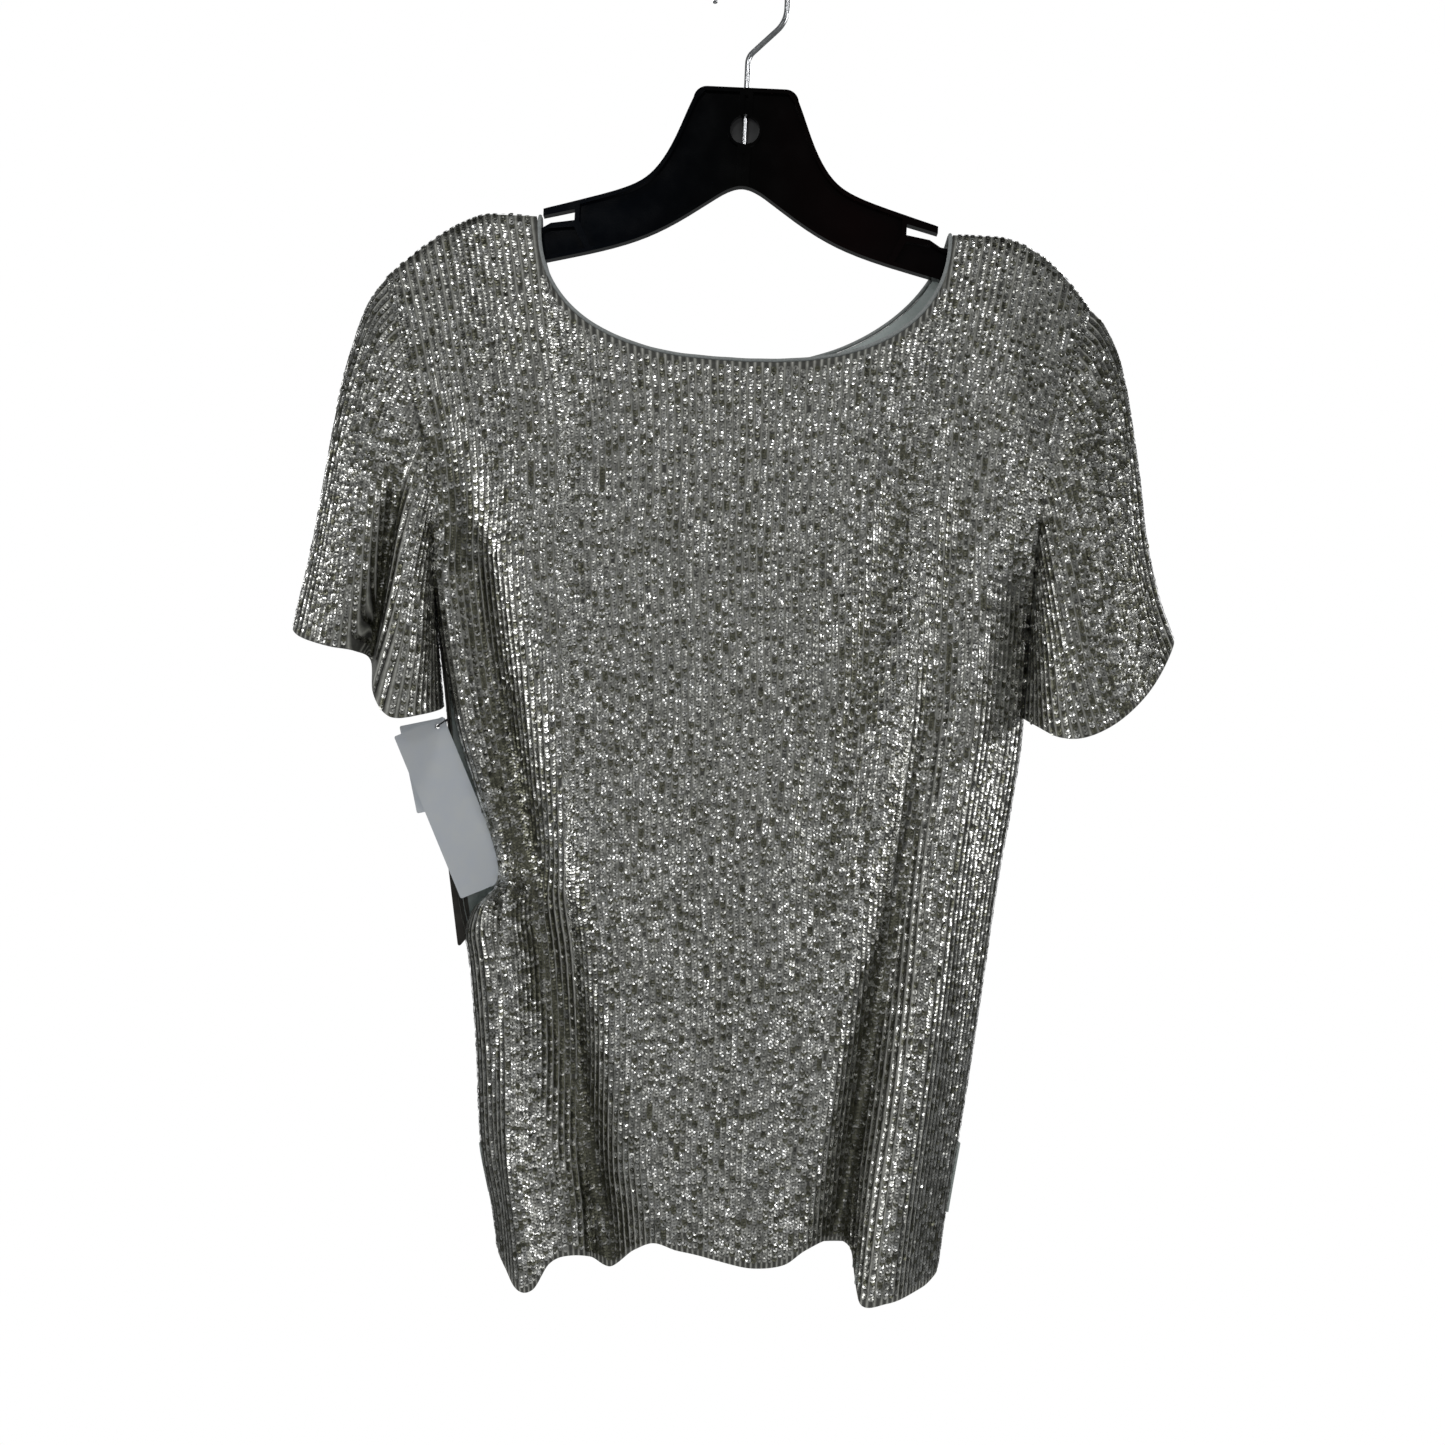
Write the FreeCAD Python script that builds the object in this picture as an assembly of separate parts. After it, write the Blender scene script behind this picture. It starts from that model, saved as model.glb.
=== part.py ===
import FreeCAD, Part
import math
import os

# Sequined short-sleeve party top hanging on a moulded hanger with a swivel hook, and its swing tags.
# Millimetres. The origin is the seat of the hook, where the rail touches it. +Z is up, +X is the
# viewer's right and -Y is the side nearest the viewer. "Left" and "right" are the viewer's.

V = FreeCAD.Vector

# --- driving dimensions -------------------------------------------------------------------------

WIRE_R = 1.8                 # hook wire
CROWN_R = 24.0               # centre line of the hook's crown
SHANK_BORE_R = 1.85          # running fit round the wire
HEAD_R = 2.8                 # upset head that keeps the wire in its boss
HEAD_TOP = -126.0
HEAD_HEIGHT = 2.4

BLOCK_TOP = -87.0            # top of the hanger's neck block
ARM_HALF_DEPTH = 5.0         # half the hanger's thickness at its rims
WEB_HALF_DEPTH = 1.2
RIM = 2.6                    # width of the raised rim
BOSS_HALF_WIDTH = 4.2        # rib that holds the hook's shank
WINDOW_Z = -113.5            # round window where the shank shows
WINDOW_R = 9.4
DISC_THICK = 1.2             # disc that closes the window behind the shank

SHOULDER_Z = -174.0          # top of the garment on the hanger's arms
TIP_X = 224.0                # shoulder tips, half the shoulder width
TIP_DROP = 43.0
FLAT_X = 160.0               # the shoulder line falls away outside this
ARM_WRAP_R = 10.5            # outer radius of the cloth over the arm
HEM_Z = -829.0
UNDERARM_Z = -415.0
SHELL = 1.5                  # sequined knit
LINING = 0.6
LINING_GAP = 1.8
SEAM_GAP = 0.35              # half the gap between two panels at a seam

NECK_TOP = SHOULDER_Z - 0.1
NECK_DEPTH = 89.0            # neckline below the shoulder line
NECK_HALF_WIDTH = 131.0
NECK_CENTRE = 3.0
NECK_SHIFT_BACK = -15.0      # the back neckline hangs a little to the left
BINDING_HEIGHT = 3.0
BINDING_THICK = 2.8
BINDING_CLEAR = 1.9          # from the binding to the raw edges inside it
BINDING_PROUD = 0.2          # how far the binding stands proud of the shell
ARM_CLEAR = 9.6              # from the garment's shoulder line down to the arm inside it

CARD_THICK = 0.45            # swing tags
TAG_HOLE_R = 1.6
FILAMENT_R = 0.5
TAG_PIVOT = V(-179.0, 0.0, -503.0)

# --- small helpers ------------------------------------------------------------------------------


def smooth(t):
    """0 below t = 0, 1 above t = 1, and an S-curve between."""
    t = min(1.0, max(0.0, t))
    return t * t * (3.0 - 2.0 * t)


def profile(knots, height):
    """Smooth value at a height through (height, value) knots, listed from the top down."""
    if height >= knots[0][0]:
        return knots[0][1]
    if height <= knots[-1][0]:
        return knots[-1][1]
    i = 0
    while height < knots[i + 1][0]:
        i += 1
    span = knots[i][0] - knots[i + 1][0]
    t = (knots[i][0] - height) / span

    def slope(k):
        low = min(len(knots) - 1, k + 1)
        high = max(0, k - 1)
        return (knots[low][1] - knots[high][1]) / (knots[high][0] - knots[low][0])

    start, end = knots[i][1], knots[i + 1][1]
    return (start * (2 * t**3 - 3 * t**2 + 1) + end * (3 * t**2 - 2 * t**3)
            + span * slope(i) * (t**3 - 2 * t**2 + t) + span * slope(i + 1) * (t**3 - t**2))


# --- the garment's surfaces ---------------------------------------------------------------------

# Widest x of each panel on each side, by height. The armholes are the part above the underarm.
LEFT_FRONT = [(-217, -224), (-250, -214), (-290, -203), (-333, -191), (-380, -185), (-415, -185),
              (-500, -175), (-549, -152), (-597, -134), (-650, -130), (-720, -128), (-838, -124)]
LEFT_BACK = [(-217, -224), (-250, -214), (-290, -203), (-333, -191), (-380, -185), (-415, -185),
             (-500, -177), (-549, -168), (-597, -160), (-650, -152), (-720, -143), (-838, -131)]
LEFT_SEAM = [(-415, -185), (-470, -180), (-500, -170), (-550, -145), (-590, -122), (-620, -121),
             (-680, -127), (-760, -126), (-838, -124)]
RIGHT = [(-217, 225), (-250, 217), (-290, 208), (-333, 200), (-380, 196), (-415, 196),
         (-495, 194), (-533, 190), (-585, 183), (-662, 175), (-726, 168), (-804, 158), (-838, 155)]
# Half the depth of the torso by distance below the shoulder line.
DEPTH = [(0, 0.0), (-30, 5.0), (-100, 14.0), (-250, 24.0), (-450, 29.0), (-660, 32.0)]
ARMHOLE_DEPTH = 24.0         # half the front-to-back gap at mid armhole

# Hanging folds: x at FOLD_TOP, x at the hem, outward swell at each, and half width.
FOLD_TOP = -440.0
FOLD_START = -225.0
FRONT_FOLDS = [(-168, -108, 4, 26, 17), (-148, -79, -4, -8, 12), (-140, -55, 3, 22, 14),
               (-128, -28, -9, -26, 15), (-108, 4, 7, 12, 22), (34, 38, 0, 14, 34),
               (98, 24, -7, 0, 16), (116, 66, 6, 4, 14), (142, 88, -8, -25, 13),
               (160, 119, 8, 38, 18)]
BACK_FOLDS = [(-150, -100, 4, 24, 18), (-112, -62, -6, -22, 15), (-60, -18, 5, 22, 20),
              (0, 24, -6, -20, 16), (60, 62, 5, 24, 20), (115, 100, -6, -18, 15),
              (160, 135, 5, 20, 16)]


def shoulder_z(x):
    """Height of the shoulder line: level over the hanger's hump, then falling to the tips."""
    past = max(0.0, (abs(x) - FLAT_X) / (TIP_X - FLAT_X))
    return SHOULDER_Z - TIP_DROP * past**1.6


def below_shoulder(x, distance):
    """Height a distance inside the shoulder line, measured square to it."""
    slope = (shoulder_z(x + 0.5) - shoulder_z(x - 0.5)) / 1.0
    return shoulder_z(x) - distance * math.sqrt(1 + slope * slope)


def fold_swell(folds, x, z):
    """How far the folds push the cloth outward at x and z."""
    drop = (FOLD_TOP - z) / (FOLD_TOP - HEM_Z)
    swell = 0.0
    for top_x, hem_x, top_depth, hem_depth, half_width in folds:
        centre = top_x + (hem_x - top_x) * drop
        depth = top_depth + (hem_depth - top_depth) * max(0.0, drop)
        swell += depth * math.exp(-((x - centre) / half_width)**2)
    return swell * smooth((FOLD_START - z) / (FOLD_START - FOLD_TOP))


def torso(side):
    """Outer face of the front (side -1) or back (side +1): s from -1 to 1 across, v from 0 to 1 down.

    Both are given on the near side of y = 0; the back's solids are mirrored once they are built.
    """
    folds = FRONT_FOLDS if side < 0 else BACK_FOLDS
    left_outer = LEFT_FRONT if side < 0 else LEFT_BACK

    def point(s, v):
        s = max(-1.0, min(1.0, s))
        v = max(0.0, min(1.0, v))
        angle = s * math.pi / 2
        level = shoulder_z(TIP_X) * (1 - v) + HEM_Z * v
        left = profile(left_outer, level)
        right = profile(RIGHT, level)
        x = (left + right) / 2 + (right - left) / 2 * math.sin(angle)
        top = shoulder_z(TIP_X * math.sin(angle))
        z = top * (1 - v) + HEM_Z * v
        below = top - z
        if below < ARM_WRAP_R:
            depth = math.sqrt(ARM_WRAP_R**2 - (ARM_WRAP_R - below)**2)
        else:
            depth = ARM_WRAP_R + profile(DEPTH, ARM_WRAP_R - below)
        open_edge = 0.0
        if level > UNDERARM_Z:
            share = (shoulder_z(TIP_X) - level) / (shoulder_z(TIP_X) - UNDERARM_Z)
            open_edge = ARMHOLE_DEPTH * math.sin(math.pi * share)**0.7
        open_edge = min(open_edge, depth)
        fall = 0.85 - 0.6 * smooth((55 - below) / 40)
        y = open_edge + (depth - open_edge) * math.cos(angle)**fall
        swell = fold_swell(folds, x, z) * (1 - abs(s)**8)
        y += swell
        z -= 0.3 * swell * v * v
        if s < 0 and level < UNDERARM_Z:
            tuck = profile(LEFT_SEAM, level) - left
            x += tuck * smooth((-s - 0.78) / 0.14)
        return V(x, -max(y, SEAM_GAP), z)

    return point


def inset(surface, u, v, distance, sign=1, near=False):
    """Point a distance inside a surface, along its normal."""
    step = 1e-3
    across = surface(u + step, v) - surface(u - step, v)
    down = surface(u, min(1.0, v + step)) - surface(u, max(0.0, v - step))
    normal = across.cross(down)
    normal.normalize()
    point = surface(u, v) + normal * (distance * sign)
    if near:
        point.y = min(-SEAM_GAP, point.y)
    return point


def knots(count, degree):
    """Clamped even knots and their multiplicities for a number of poles."""
    spans = count - degree
    return list(range(spans + 1)), [degree + 1] + [1] * (spans - 1) + [degree + 1]


def patch(rows, row_degree=3):
    """Smooth face with the given grid of poles, so it stays inside their hull."""
    down_knots, down_mults = knots(len(rows), row_degree)
    across_knots, across_mults = knots(len(rows[0]), 3)
    surface = Part.BSplineSurface()
    surface.buildFromPolesMultsKnots(rows, down_mults, across_mults, down_knots, across_knots,
                                     False, False, row_degree, 3)
    return surface.toShape()


def sheet_solid(outer, inner):
    """Closed solid between two grids of poles with the same rows and columns."""
    faces = [patch(outer), patch(inner)]
    for row in (0, -1):
        faces.append(patch([outer[row], inner[row]], 1))
    for column in (0, -1):
        faces.append(patch([[row[column] for row in outer], [row[column] for row in inner]], 1))
    shell = Part.makeShell(faces)
    shell.sewShape()
    solid = Part.makeSolid(Part.Shell(shell.Faces))
    if solid.Volume < 0:
        solid.reverse()
    return solid


def sheet(surface, across, down, depth, thick, sign=1, near=False):
    """A sheet with its outer face a given depth inside a surface."""
    outer = [[inset(surface, u, v, depth, sign, near) for u in across] for v in down]
    inner = [[inset(surface, u, v, depth + thick, sign, near) for u in across] for v in down]
    return sheet_solid(outer, inner)


def steps(start, end, count):
    return [start + (end - start) * i / count for i in range(count + 1)]


def wrap_rows(last):
    """Rows down a panel as shares of its height: close round the hanger's arm, then wider."""
    length = -HEM_Z + SHOULDER_Z
    rows = [ARM_WRAP_R * (1 - math.cos(math.radians(angle))) / length for angle in (0, 30, 60, 90)]
    rows += [v / length for v in (20, 40, 66)]
    rows += steps(98 / length, last, 15)
    return rows


def neck_at(side, turn, out=0.0):
    """x and z on the neckline, turn from 0 at the left to 1 at the right, enlarged by a distance."""
    shift = NECK_SHIFT_BACK if side > 0 else 0.0
    angle = math.pi * turn
    share = (1 - abs(math.cos(angle))**2.5)**(1 / 2.4)
    return (NECK_CENTRE - (NECK_HALF_WIDTH + out) * math.cos(angle) + shift * share**3,
            NECK_TOP - (NECK_DEPTH + out) * share)


def neck_turn(side, x, out):
    """The turn at which the neckline reaches x, by halving."""
    low, high = 0.0, 1.0
    for _ in range(40):
        middle = (low + high) / 2
        if neck_at(side, middle, out)[0] < x:
            low = middle
        else:
            high = middle
    return low


def column_top(side, surface, s, out):
    """Share of the height at which a column starts: 0 on the shoulders, lower at the neckline."""
    x = surface(s, 0.0).x
    if abs(x - NECK_CENTRE) >= NECK_HALF_WIDTH + out:
        return 0.0
    low, high = 0.0, 0.3
    for _ in range(40):
        middle = (low + high) / 2
        point = surface(s, middle)
        if abs(point.x - NECK_CENTRE) >= NECK_HALF_WIDTH + out:
            high = middle
            continue
        if point.z > neck_at(side, neck_turn(side, point.x, out), out)[1]:
            low = middle
        else:
            high = middle
    return high


def columns(out):
    """Values of s across a panel: even on the shoulders and close at the neck's corners."""
    def s_of(x):
        return math.asin(x / TIP_X) * 2 / math.pi

    left = s_of(NECK_CENTRE - NECK_HALF_WIDTH - out - 0.5)
    right = s_of(NECK_CENTRE + NECK_HALF_WIDTH + out + 0.5)
    turns = [math.pi / 2 * (1 - math.cos(math.pi * turn / 24)) for turn in range(1, 24)]
    neck = [s_of(NECK_CENTRE - (NECK_HALF_WIDTH + out) * math.cos(turn)) for turn in turns]
    return steps(-1, left, 9) + neck + steps(right, 1, 9)


def placed(side, solid):
    """The solid itself on the front, or its mirror image on the back."""
    if side < 0:
        return solid
    return solid.mirror(V(0, 0, 0), V(0, 1, 0))


def torso_at(side, x, z):
    """Panel parameters (s, v) of the point at x and z."""
    left_outer = LEFT_FRONT if side < 0 else LEFT_BACK
    v = 0.0
    s = 0.0
    for _ in range(40):
        level = shoulder_z(TIP_X) * (1 - v) + HEM_Z * v
        left = profile(left_outer, level)
        right = profile(RIGHT, level)
        share = (2 * x - left - right) / (right - left)
        s = math.asin(max(-1.0, min(1.0, share))) * 2 / math.pi
        top = shoulder_z(TIP_X * share)
        v = max(0.0, (top - z) / (top - HEM_Z))
    return s, v


def sleeve(right, spread, inner_x, outer_x, outer_z, hem_z, lobes):
    """Outer face of a sleeve: turn from 0 (top) through the near side to the underarm and back, w down."""
    mirror = 1 if right else -1
    front = torso(-1)
    back = torso(1)

    def armhole(turn):
        side = front if turn < 0.5 else back
        share = 2 * turn if turn < 0.5 else 2 * (1 - turn)
        v = share * (shoulder_z(TIP_X) - UNDERARM_Z) / (shoulder_z(TIP_X) - HEM_Z)
        edge = side(mirror, v)
        return V(edge.x + mirror * 0.8, edge.y if turn < 0.5 else -edge.y, edge.z)

    def hem(turn):
        around = math.cos(2 * math.pi * turn)
        x = (outer_x + inner_x) / 2 + (outer_x - inner_x) / 2 * around
        y = -spread * math.sin(2 * math.pi * turn)
        z = hem_z + (outer_z - hem_z) * ((1 + around) / 2)**5
        for centre, width, depth in lobes:
            y += depth * math.exp(-((turn - centre) / width)**2)
        return V(mirror * x, y, z)

    def point(turn, w):
        turn = max(0.001, min(0.999, turn))
        start = armhole(turn)
        end = hem(turn)
        outward = mirror * 9.0 * math.sin(math.pi * w**0.6) * (1 - w) * ((1 + math.cos(2 * math.pi * turn)) / 2)
        swell = 10.0 * math.sin(math.pi * w) * math.sin(2 * math.pi * turn)
        middle = start + (end - start) * w
        return V(middle.x + outward, middle.y - swell * 0.5, middle.z)

    return point


RIGHT_SLEEVE = sleeve(True, 43, 202, 288, -426, -486, [])
LEFT_SLEEVE = sleeve(False, 40, 188, 273, -444, -492, [])

# --- pieces of the garment ----------------------------------------------------------------------


def panel(side, depth, thick, last, out):
    """Front or back piece of shell or lining, from the shoulders and neckline down."""
    surface = torso(side)
    across = columns(out)
    tops = [column_top(side, surface, s, out) for s in across]
    grids = []
    for inside in (depth, depth + thick):
        grid = []
        for row in wrap_rows(last):
            share = row / last
            grid.append([inset(surface, s, top + (last - top) * share, inside, near=True)
                         for s, top in zip(across, tops)])
        grids.append(grid)
    return placed(side, sheet_solid(*grids))


def neck_binding(side):
    """Folded strip that covers the raw edges of shell and lining round half the neckline."""
    surface = torso(side)

    def strip(turn, h, y):
        x, z = neck_at(side, turn, BINDING_HEIGHT * (0.5 - h))
        z = min(z, SHOULDER_Z - 0.2)
        point = surface(*torso_at(side, x, z))
        return V(x, min(point.y + y, -SEAM_GAP), z)

    grids = [[[strip(turn, h, y) for turn in steps(0, 1, 36)] for h in steps(0, 1, 3)]
             for y in (-BINDING_PROUD, BINDING_THICK - BINDING_PROUD)]
    return placed(side, sheet_solid(*grids))


def label(side, x_low, x_high, z_high, z_low, depth, thick):
    """Small woven label on the inside of a panel."""
    s_low = torso_at(side, x_low, (z_high + z_low) / 2)[0]
    s_high = torso_at(side, x_high, (z_high + z_low) / 2)[0]
    v_high = torso_at(side, x_low, z_high)[1]
    v_low = torso_at(side, x_low, z_low)[1]
    solid = sheet(torso(side), steps(s_low, s_high, 5), steps(v_high, v_low, 4), depth, thick)
    return placed(side, solid)


def care_label():
    """Three printed leaves stitched into the left side seam, left blank."""
    width, height, leaf = 30.0, 58.0, 0.25
    leaves = []
    for i in range(3):
        corner = V(-119.0, -0.5 + 0.4 * i, -750.0 + 3.0 * i)
        leaves.append(Part.makeBox(width - 2.0 * i, leaf, height - 3.0 * i, corner))
    return Part.makeCompound(leaves)


def garment():
    """Shell, lining, sleeves, bindings, hems and labels."""
    made = {}
    inside = SHELL + LINING_GAP
    for side, name in ((-1, "front"), (1, "back")):
        made[name + "_panel"] = panel(side, 0.0, SHELL, 1.0, BINDING_HEIGHT / 2 + BINDING_CLEAR)
        made[name + "_lining"] = panel(side, inside, LINING, 0.95, BINDING_HEIGHT / 2 + BINDING_CLEAR)
        made[name + "_neck_binding"] = neck_binding(side)
        across = [s for s in columns(0.0) if abs(s) < 0.98]
        hem = sheet(torso(side), across, steps(0.96, 1.0, 3), SHELL + 2.2, 0.8)
        made[name + "_hem"] = placed(side, hem)
    for surface, sign, name in ((LEFT_SLEEVE, 1, "left"), (RIGHT_SLEEVE, -1, "right")):
        turns = steps(0.002, 0.998, 40)
        made[name + "_sleeve"] = sheet(surface, turns, steps(0, 1, 12), 0.0, SHELL, sign)
        turns = steps(0.01, 0.99, 32)
        made[name + "_sleeve_hem"] = sheet(surface, turns, steps(0.91, 0.995, 3), SHELL + 0.5, 0.8, sign)
    under = inside + LINING + 0.2
    made["neck_label"] = label(1, -32.0, 18.0, -268.0, -286.0, under, 0.5)
    made["size_label"] = label(1, -13.0, -1.0, -287.0, -299.0, under, 0.4)
    made["care_label"] = care_label()
    return made


# --- hanger and hook ----------------------------------------------------------------------------

# Right half of the outline, x and z: the neck and the arm's top, then the arm's lower edge.
ARM_TOP = [(33.6, -94.5), (43, -118), (51, -134), (61.5, -146.5), (79, -155.5), (103, -163.1),
           (121, -168.4), (127.5, -170.6), (134, -175.5)]
ARM_TOP += [(x, below_shoulder(x, ARM_CLEAR)) for x in (142, 160, 175, 188, 200)]
ARM_TIP = [ARM_TOP[-1], (204, -213.5), (202.5, -217.5)]
ARM_BOTTOM = [ARM_TIP[-1], (198, -218.5), (160, -212.5), (125, -203), (89, -193.8), (61, -184),
              (37, -170.8), (18, -157.8), (8, -151.8)]
ARM_APEX = (0, -149.8)
BLOCK_CORNER = [(25, BLOCK_TOP), (30.8, -89.2), (33.6, -94.5)]
# Strap notch: under the prong, open upward between the prong's tip and the arm's hump.
NOTCH = [(106, -169.3), (126, -174.4), (126, -165), (143, -165), (143, -185.9), (128, -183.2),
         (121, -178.8), (106, -176.3)]
NOTCH_RIB = [(103, -160), (103, -180.2), (122, -182.2), (132, -187.2), (143, -189), (143, -170)]
BRACE = [(102.6, -177), (106.4, -180), (95.5, -200), (91.5, -200)]


def point_at(pair, mirror=1):
    return V(mirror * pair[0], 0, pair[1])


def spline(pairs, mirror=1):
    curve = Part.BSplineCurve()
    curve.interpolate([point_at(pair, mirror) for pair in pairs])
    return curve.toShape()


def arc(pairs, mirror=1):
    start, middle, end = [point_at(pair, mirror) for pair in pairs]
    return Part.Arc(start, middle, end).toShape()


def slab(face, half_depth):
    """A flat face in the plane y = 0, thickened both ways."""
    face = face.copy()
    face.translate(V(0, -half_depth, 0))
    return face.extrude(V(0, 2 * half_depth, 0))


def prism(pairs, half_depth, mirror=1):
    corners = [point_at(pair, mirror) for pair in pairs]
    return slab(Part.Face(Part.makePolygon(corners + corners[:1])), half_depth)


def outline():
    """The hanger's outline as one closed wire."""
    edges = [Part.LineSegment(V(-25, 0, BLOCK_TOP), V(25, 0, BLOCK_TOP)).toShape()]
    for mirror in (1, -1):
        edges += [arc(BLOCK_CORNER, mirror), spline(ARM_TOP, mirror), arc(ARM_TIP, mirror)]
    left_bottom = [(-x, z) for x, z in reversed(ARM_BOTTOM)]
    edges.append(spline(ARM_BOTTOM + [ARM_APEX] + left_bottom))
    return Part.Wire(Part.__sortEdges__(edges))


def shifted(pairs, distance):
    """The points of a run, each moved square to the run, to its right for a positive distance."""
    moved = []
    for index, (x, z) in enumerate(pairs):
        before = pairs[max(index - 1, 0)]
        after = pairs[min(index + 1, len(pairs) - 1)]
        along = V(after[0] - before[0], 0, after[1] - before[1]).normalize()
        moved.append((x + along.z * distance, z - along.x * distance))
    return moved


def recess(mirror):
    """The space inside one arm's rim, from the boss out to the tip."""
    top = shifted(ARM_TOP, RIM)[:-1]
    bottom = shifted(ARM_BOTTOM, RIM)[1:-1]
    shoulder = (BLOCK_CORNER[0][0] + 1.5, BLOCK_TOP - RIM)
    boss_foot = (0, ARM_APEX[1] + RIM)
    boss_top = (0, BLOCK_TOP - RIM)
    edges = [spline(top, mirror), spline(bottom, mirror)]
    for pair in ((top[-1], bottom[0]), (bottom[-1], boss_foot), (boss_foot, boss_top),
                 (boss_top, shoulder), (shoulder, top[0])):
        edges.append(Part.LineSegment(point_at(pair[0], mirror), point_at(pair[1], mirror)).toShape())
    return slab(Part.Face(Part.Wire(Part.__sortEdges__(edges))), ARM_HALF_DEPTH + 1)


def upright(radius, low, high, x=0.0):
    return Part.makeCylinder(radius, high - low, V(x, 0, low), V(0, 0, 1))


def through(radius, near, far):
    """Cylinder along +Y on the window's axis."""
    return Part.makeCylinder(radius, far - near, V(0, near, WINDOW_Z), V(0, 1, 0))


def hanger_frame():
    """One moulding: a thin web inside a raised rim, with ribs at the boss and the strap notches."""
    wire = outline()
    full = slab(Part.Face(wire), ARM_HALF_DEPTH)
    body = full.cut(recess(1)).cut(recess(-1))
    ribs = [Part.makeBox(2 * BOSS_HALF_WIDTH, 2 * ARM_HALF_DEPTH, 66,
                         V(-BOSS_HALF_WIDTH, -ARM_HALF_DEPTH, BLOCK_TOP - 66)),
            through(WINDOW_R + 1.6, -3.4, 4.6),
            slab(Part.Face(wire), WEB_HALF_DEPTH)]
    for mirror in (1, -1):
        ribs.append(prism(NOTCH_RIB, ARM_HALF_DEPTH, mirror))
        ribs.append(prism(BRACE, ARM_HALF_DEPTH, mirror))
    for rib in ribs:
        body = body.fuse(rib.common(full))
    for mirror in (1, -1):
        body = body.cut(prism(NOTCH, ARM_HALF_DEPTH + 1, mirror))
    body = body.cut(through(WINDOW_R, -ARM_HALF_DEPTH - 1, ARM_HALF_DEPTH + 1))
    body = body.cut(upright(SHANK_BORE_R, HEAD_TOP - 1, BLOCK_TOP + 1))
    body = body.cut(upright(HEAD_R + 0.1, HEAD_TOP - HEAD_HEIGHT - 0.3, HEAD_TOP + 0.3))
    body = body.cut(Part.makeBox(2.2, 4.0, 10.0, V(-1.1, -ARM_HALF_DEPTH - 1, -102)))
    body = body.cut(Part.makeBox(1.8, 1.6, 18.0, V(-0.9, -ARM_HALF_DEPTH - 0.8, -147)))
    return body.removeSplitter()


def hook_lock_disc():
    """Grey disc pressed into the window from the back, behind the shank."""
    return through(WINDOW_R - 0.03, 2.4, 2.4 + DISC_THICK)


def hook_wire():
    """Upset head, straight shank, offset bend and crown, bent from one wire."""
    side_x = 23.5
    crown_x = side_x - CROWN_R
    crown_z = WIRE_R - CROWN_R

    def bend(before, corner, after, radius):
        """Tangent points and middle of the arc that rounds a corner."""
        back = (before - corner).normalize()
        ahead = (after - corner).normalize()
        half = back.getAngle(ahead) / 2
        reach = radius / math.tan(half)
        toward = (back + ahead).normalize()
        middle = corner + toward * (radius / math.sin(half) - radius)
        return corner + back * reach, middle, corner + ahead * reach

    foot = V(0, 0, HEAD_TOP - 1)
    low = V(0, 0, -66)
    high = V(side_x, 0, -42.5)
    side = V(side_x, 0, crown_z)
    first = bend(foot, low, high, 10.0)
    second = bend(low, high, side, 20.0)
    end_angle = math.radians(202)

    def on_crown(angle):
        return V(crown_x + CROWN_R * math.cos(angle), 0, crown_z + CROWN_R * math.sin(angle))

    edges = [Part.LineSegment(foot, first[0]).toShape(), Part.Arc(*first).toShape(),
             Part.LineSegment(first[2], second[0]).toShape(), Part.Arc(*second).toShape(),
             Part.LineSegment(second[2], side).toShape(),
             Part.Arc(side, on_crown(end_angle / 2), on_crown(end_angle)).toShape()]
    ring = Part.Wire(Part.makeCircle(WIRE_R, foot, V(0, 0, 1)))
    wire = Part.Wire(edges).makePipeShell([ring], True, False)
    head = upright(HEAD_R, HEAD_TOP - HEAD_HEIGHT, HEAD_TOP)
    tip = Part.makeSphere(WIRE_R, on_crown(end_angle))
    return wire.fuse([head, tip]).removeSplitter()


# --- swing tags ---------------------------------------------------------------------------------


def card(width, height, hole_u, hole_down, lean, y, slant=0.0):
    """Card in the plane of the hanger, hung from its hole, its foot leaning right by an angle."""
    left, top = -hole_u, hole_down
    corners = [V(left, 0, top), V(left + width, 0, top), V(left + width, 0, top - height + slant),
               V(left, 0, top - height)]
    solid = Part.Face(Part.makePolygon(corners + corners[:1])).extrude(V(0, CARD_THICK, 0))
    corner_edges = [edge for edge in solid.Edges if abs(edge.Length - CARD_THICK) < 1e-6]
    solid = solid.makeFillet(1.2, corner_edges)
    solid = solid.cut(Part.makeCylinder(TAG_HOLE_R, 4, V(0, -2, 0), V(0, 1, 0)))
    solid.rotate(V(0, 0, 0), V(0, 1, 0), -lean)
    solid.translate(TAG_PIVOT + V(0, y - CARD_THICK / 2, 0))
    return solid


def tag_filament():
    """Plastic loop: a bar through the three holes, two legs and a bar against the side seam."""
    seam = V(7.2, 0, 5.6)
    half = V(0, 4.6, 0)
    route = [TAG_PIVOT - half, TAG_PIVOT + seam - half, TAG_PIVOT + seam + half, TAG_PIVOT + half,
             TAG_PIVOT - half]
    pieces = []
    for start, end in zip(route, route[1:]):
        pieces.append(Part.makeCylinder(FILAMENT_R, (end - start).Length, start, end - start))
    pieces += [Part.makeSphere(FILAMENT_R, point) for point in route[1:]]
    return pieces[0].fuse(pieces[1:]).removeSplitter()


def swing_tags():
    return {
        "swing_tag_front": card(34, 112, 28, 4.5, 25, -3.0),
        "swing_tag_middle": card(29.5, 57, 24, 5, 14, 0.0),
        "swing_tag_rear": card(10, 147, 4.5, 4.5, 9.5, 3.0, slant=9.0),
        "tag_filament": tag_filament(),
    }


# --- write the nodes ----------------------------------------------------------------------------

nodes = {"hook_wire": hook_wire(), "hanger_frame": hanger_frame(), "hook_lock_disc": hook_lock_disc()}
nodes.update(garment())
nodes.update(swing_tags())

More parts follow.
